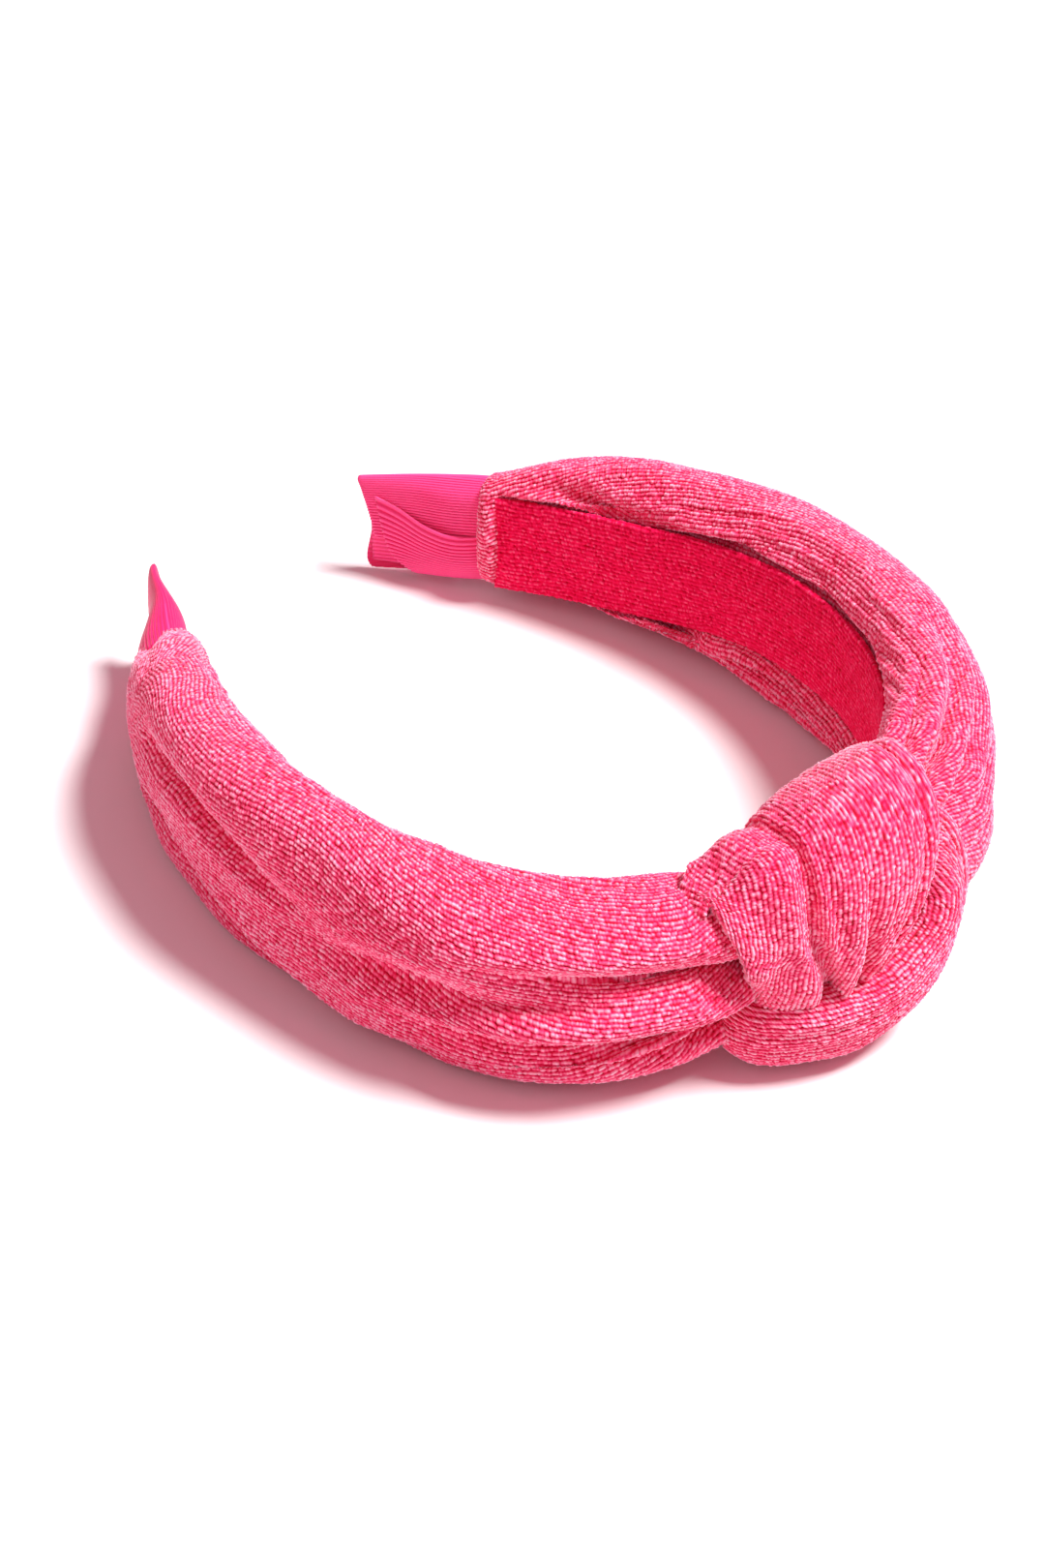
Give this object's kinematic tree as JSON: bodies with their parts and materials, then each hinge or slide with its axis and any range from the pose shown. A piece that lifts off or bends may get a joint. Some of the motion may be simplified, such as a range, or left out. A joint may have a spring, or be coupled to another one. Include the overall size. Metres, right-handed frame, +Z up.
{
  "type": "knotted towelling hair band",
  "caption": "Padded towelling hair band for sport, a springy arch with a tied knot on top and ribbon tips behind the ears.",
  "frame": {"origin": "on the table under the middle of the whole band, as it lies on its side", "axes": "+Z up, roughly along the band's width, as the band lies tilted on its tips; -Y towards the knot, +Y towards the tips; +X to the right arm"},
  "size_m": [0.1396, 0.1556, 0.0469],
  "materials": {
    "towelling": "matte",
    "velvet": "matte",
    "grosgrain": "satin",
    "padding": "matte",
    "thread": "matte",
    "arch_plastic": "satin",
    "clear_tape": "satin",
    "hot_glue": "gloss"
  },
  "bodies": {
    "crown": {"core_crown": "arch_plastic", "lining_tape_crown": "clear_tape", "lining_crown": "velvet", "knot_stitches": "thread", "knot_base": "towelling", "knot_wrap": "towelling", "knot_loop": "towelling"},
    "left_arm": {"core_left": "arch_plastic", "lining_tape_left": "clear_tape", "lining_left": "velvet", "ribbon_left": "grosgrain", "tip_glue_left": "hot_glue", "foam_left": "padding", "cover_left": "towelling"},
    "right_arm": {"core_right": "arch_plastic", "lining_tape_right": "clear_tape", "lining_right": "velvet", "ribbon_right": "grosgrain", "tip_glue_right": "hot_glue", "foam_right": "padding", "cover_right": "towelling"}
  },
  "joints": [
    {"name": "left_arm_flex", "type": "hinge", "parent": "crown", "child": "left_arm", "pos_m": [-0.03445, -0.04693, 0.02142], "axis": [0, 0.0854, 0.9963], "range_deg": [-4, 14], "stiffness_Nm_per_rad": 0.8},
    {"name": "right_arm_flex", "type": "hinge", "parent": "crown", "child": "right_arm", "pos_m": [0.03445, -0.04693, 0.02142], "axis": [0, -0.0854, -0.9963], "range_deg": [-4, 14], "stiffness_Nm_per_rad": 0.8}
  ]
}
